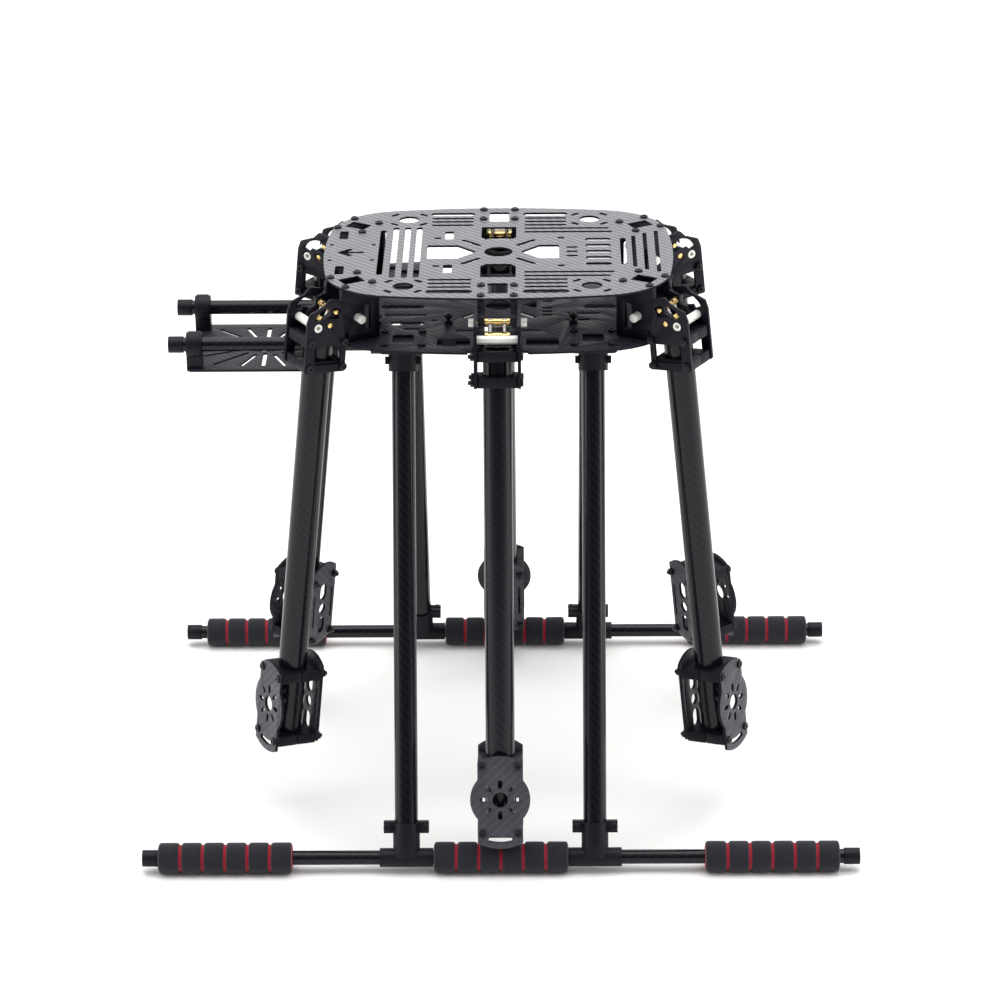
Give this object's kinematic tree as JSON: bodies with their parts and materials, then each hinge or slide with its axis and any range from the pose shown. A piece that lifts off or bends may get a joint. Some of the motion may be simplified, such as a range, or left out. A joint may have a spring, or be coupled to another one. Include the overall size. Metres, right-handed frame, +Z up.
{
  "type": "folding hexacopter frame",
  "caption": "Folding multirotor airframe: twin slotted oval hub plates, tube arms that fold down, front accessory rails and a skid landing gear with foam grips.",
  "frame": {"origin": "on the ground under the middle of the hub, between the skids", "axes": "+Z up; -X the nose, where the arrow points and the rails reach out; +Y the far side; skids along X"},
  "size_m": [0.4972, 0.3952, 0.3911],
  "materials": {
    "carbon_plate": "satin twill carbon laminate",
    "carbon_tube": "glossy wrapped carbon tube",
    "black_anodised": "black anodised, satin",
    "black_moulding": "black moulded nylon, satin",
    "black_screws": "black oxide steel; the arm's spacer bar is bare aluminium",
    "bare_aluminium": "bead-blasted, bare",
    "brass_pins": "turned brass",
    "spring_steel": "bright spring wire",
    "foam": "matte closed-cell foam with red grooves"
  },
  "bodies": {
    "frame": {"top_plate": "carbon_plate", "bottom_plate": "carbon_plate", "arm_seats": "black_anodised", "seat_rods": "bare_aluminium", "hinge_pins": "brass_pins", "latch_springs": "spring_steel", "frame_screws": "black_screws", "leg_tube_1": "carbon_tube", "leg_tube_2": "carbon_tube", "leg_tube_3": "carbon_tube", "leg_tube_4": "carbon_tube", "leg_clamps": "black_moulding", "skid_tees": "black_moulding", "skid_tubes": "carbon_tube", "foam_grip_1": "foam", "foam_grip_2": "foam", "foam_grip_3": "foam", "foam_grip_4": "foam", "foam_grip_5": "foam", "foam_grip_6": "foam", "end_caps": "black_moulding", "accessory_rails": "carbon_tube", "rail_hangers": "black_moulding", "battery_plate": "carbon_plate"},
    "arm_1": {"arm_tube_1": "carbon_tube", "hinge_cheeks_1": "black_anodised", "tube_clamps_1": "black_anodised", "motor_plates_1": "carbon_plate", "arm_hardware_1": "black_screws"},
    "latch_1": {"latch_pin_1": "brass_pins"},
    "arm_2": {"arm_tube_2": "carbon_tube", "hinge_cheeks_2": "black_anodised", "tube_clamps_2": "black_anodised", "motor_plates_2": "carbon_plate", "arm_hardware_2": "black_screws"},
    "latch_2": {"latch_pin_2": "brass_pins"},
    "arm_3": {"arm_tube_3": "carbon_tube", "hinge_cheeks_3": "black_anodised", "tube_clamps_3": "black_anodised", "motor_plates_3": "carbon_plate", "arm_hardware_3": "black_screws"},
    "latch_3": {"latch_pin_3": "brass_pins"},
    "arm_4": {"arm_tube_4": "carbon_tube", "hinge_cheeks_4": "black_anodised", "tube_clamps_4": "black_anodised", "motor_plates_4": "carbon_plate", "arm_hardware_4": "black_screws"},
    "latch_4": {"latch_pin_4": "brass_pins"},
    "arm_5": {"arm_tube_5": "carbon_tube", "hinge_cheeks_5": "black_anodised", "tube_clamps_5": "black_anodised", "motor_plates_5": "carbon_plate", "arm_hardware_5": "black_screws"},
    "latch_5": {"latch_pin_5": "brass_pins"},
    "arm_6": {"arm_tube_6": "carbon_tube", "hinge_cheeks_6": "black_anodised", "tube_clamps_6": "black_anodised", "motor_plates_6": "carbon_plate", "arm_hardware_6": "black_screws"},
    "latch_6": {"latch_pin_6": "brass_pins"}
  },
  "joints": [
    {"name": "arm_fold_1", "type": "hinge", "parent": "frame", "child": "arm_1", "pos_m": [0, -0.1056, 0.36575], "axis": [-1, 0, 0], "range_deg": [0, 77.7]},
    {"name": "latch_slide_1", "type": "slide", "parent": "frame", "child": "latch_1", "axis": [0, 0.5, 0.866], "range_m": [0, 0.0012], "stiffness_N_per_m": 1000, "springref_m": -0.002},
    {"name": "arm_fold_2", "type": "hinge", "parent": "frame", "child": "arm_2", "pos_m": [0.12185, -0.07035, 0.36575], "axis": [-0.5, -0.866, 0], "range_deg": [0, 83.4]},
    {"name": "latch_slide_2", "type": "slide", "parent": "frame", "child": "latch_2", "axis": [-0.433, 0.25, 0.866], "range_m": [0, 0.0012], "stiffness_N_per_m": 1000, "springref_m": -0.002},
    {"name": "arm_fold_3", "type": "hinge", "parent": "frame", "child": "arm_3", "pos_m": [0.12185, 0.07035, 0.36575], "axis": [0.5, -0.866, 0], "range_deg": [0, 83.4]},
    {"name": "latch_slide_3", "type": "slide", "parent": "frame", "child": "latch_3", "axis": [-0.433, -0.25, 0.866], "range_m": [0, 0.0012], "stiffness_N_per_m": 1000, "springref_m": -0.002},
    {"name": "arm_fold_4", "type": "hinge", "parent": "frame", "child": "arm_4", "pos_m": [0, 0.1056, 0.36575], "axis": [1, 0, 0], "range_deg": [0, 77.7]},
    {"name": "latch_slide_4", "type": "slide", "parent": "frame", "child": "latch_4", "axis": [0, -0.5, 0.866], "range_m": [0, 0.0012], "stiffness_N_per_m": 1000, "springref_m": -0.002},
    {"name": "arm_fold_5", "type": "hinge", "parent": "frame", "child": "arm_5", "pos_m": [-0.12185, 0.07035, 0.36575], "axis": [0.5, 0.866, 0], "range_deg": [0, 83.4]},
    {"name": "latch_slide_5", "type": "slide", "parent": "frame", "child": "latch_5", "axis": [0.433, -0.25, 0.866], "range_m": [0, 0.0012], "stiffness_N_per_m": 1000, "springref_m": -0.002},
    {"name": "arm_fold_6", "type": "hinge", "parent": "frame", "child": "arm_6", "pos_m": [-0.12185, -0.07035, 0.36575], "axis": [-0.5, 0.866, 0], "range_deg": [0, 83.4]},
    {"name": "latch_slide_6", "type": "slide", "parent": "frame", "child": "latch_6", "axis": [0.433, 0.25, 0.866], "range_m": [0, 0.0012], "stiffness_N_per_m": 1000, "springref_m": -0.002}
  ]
}
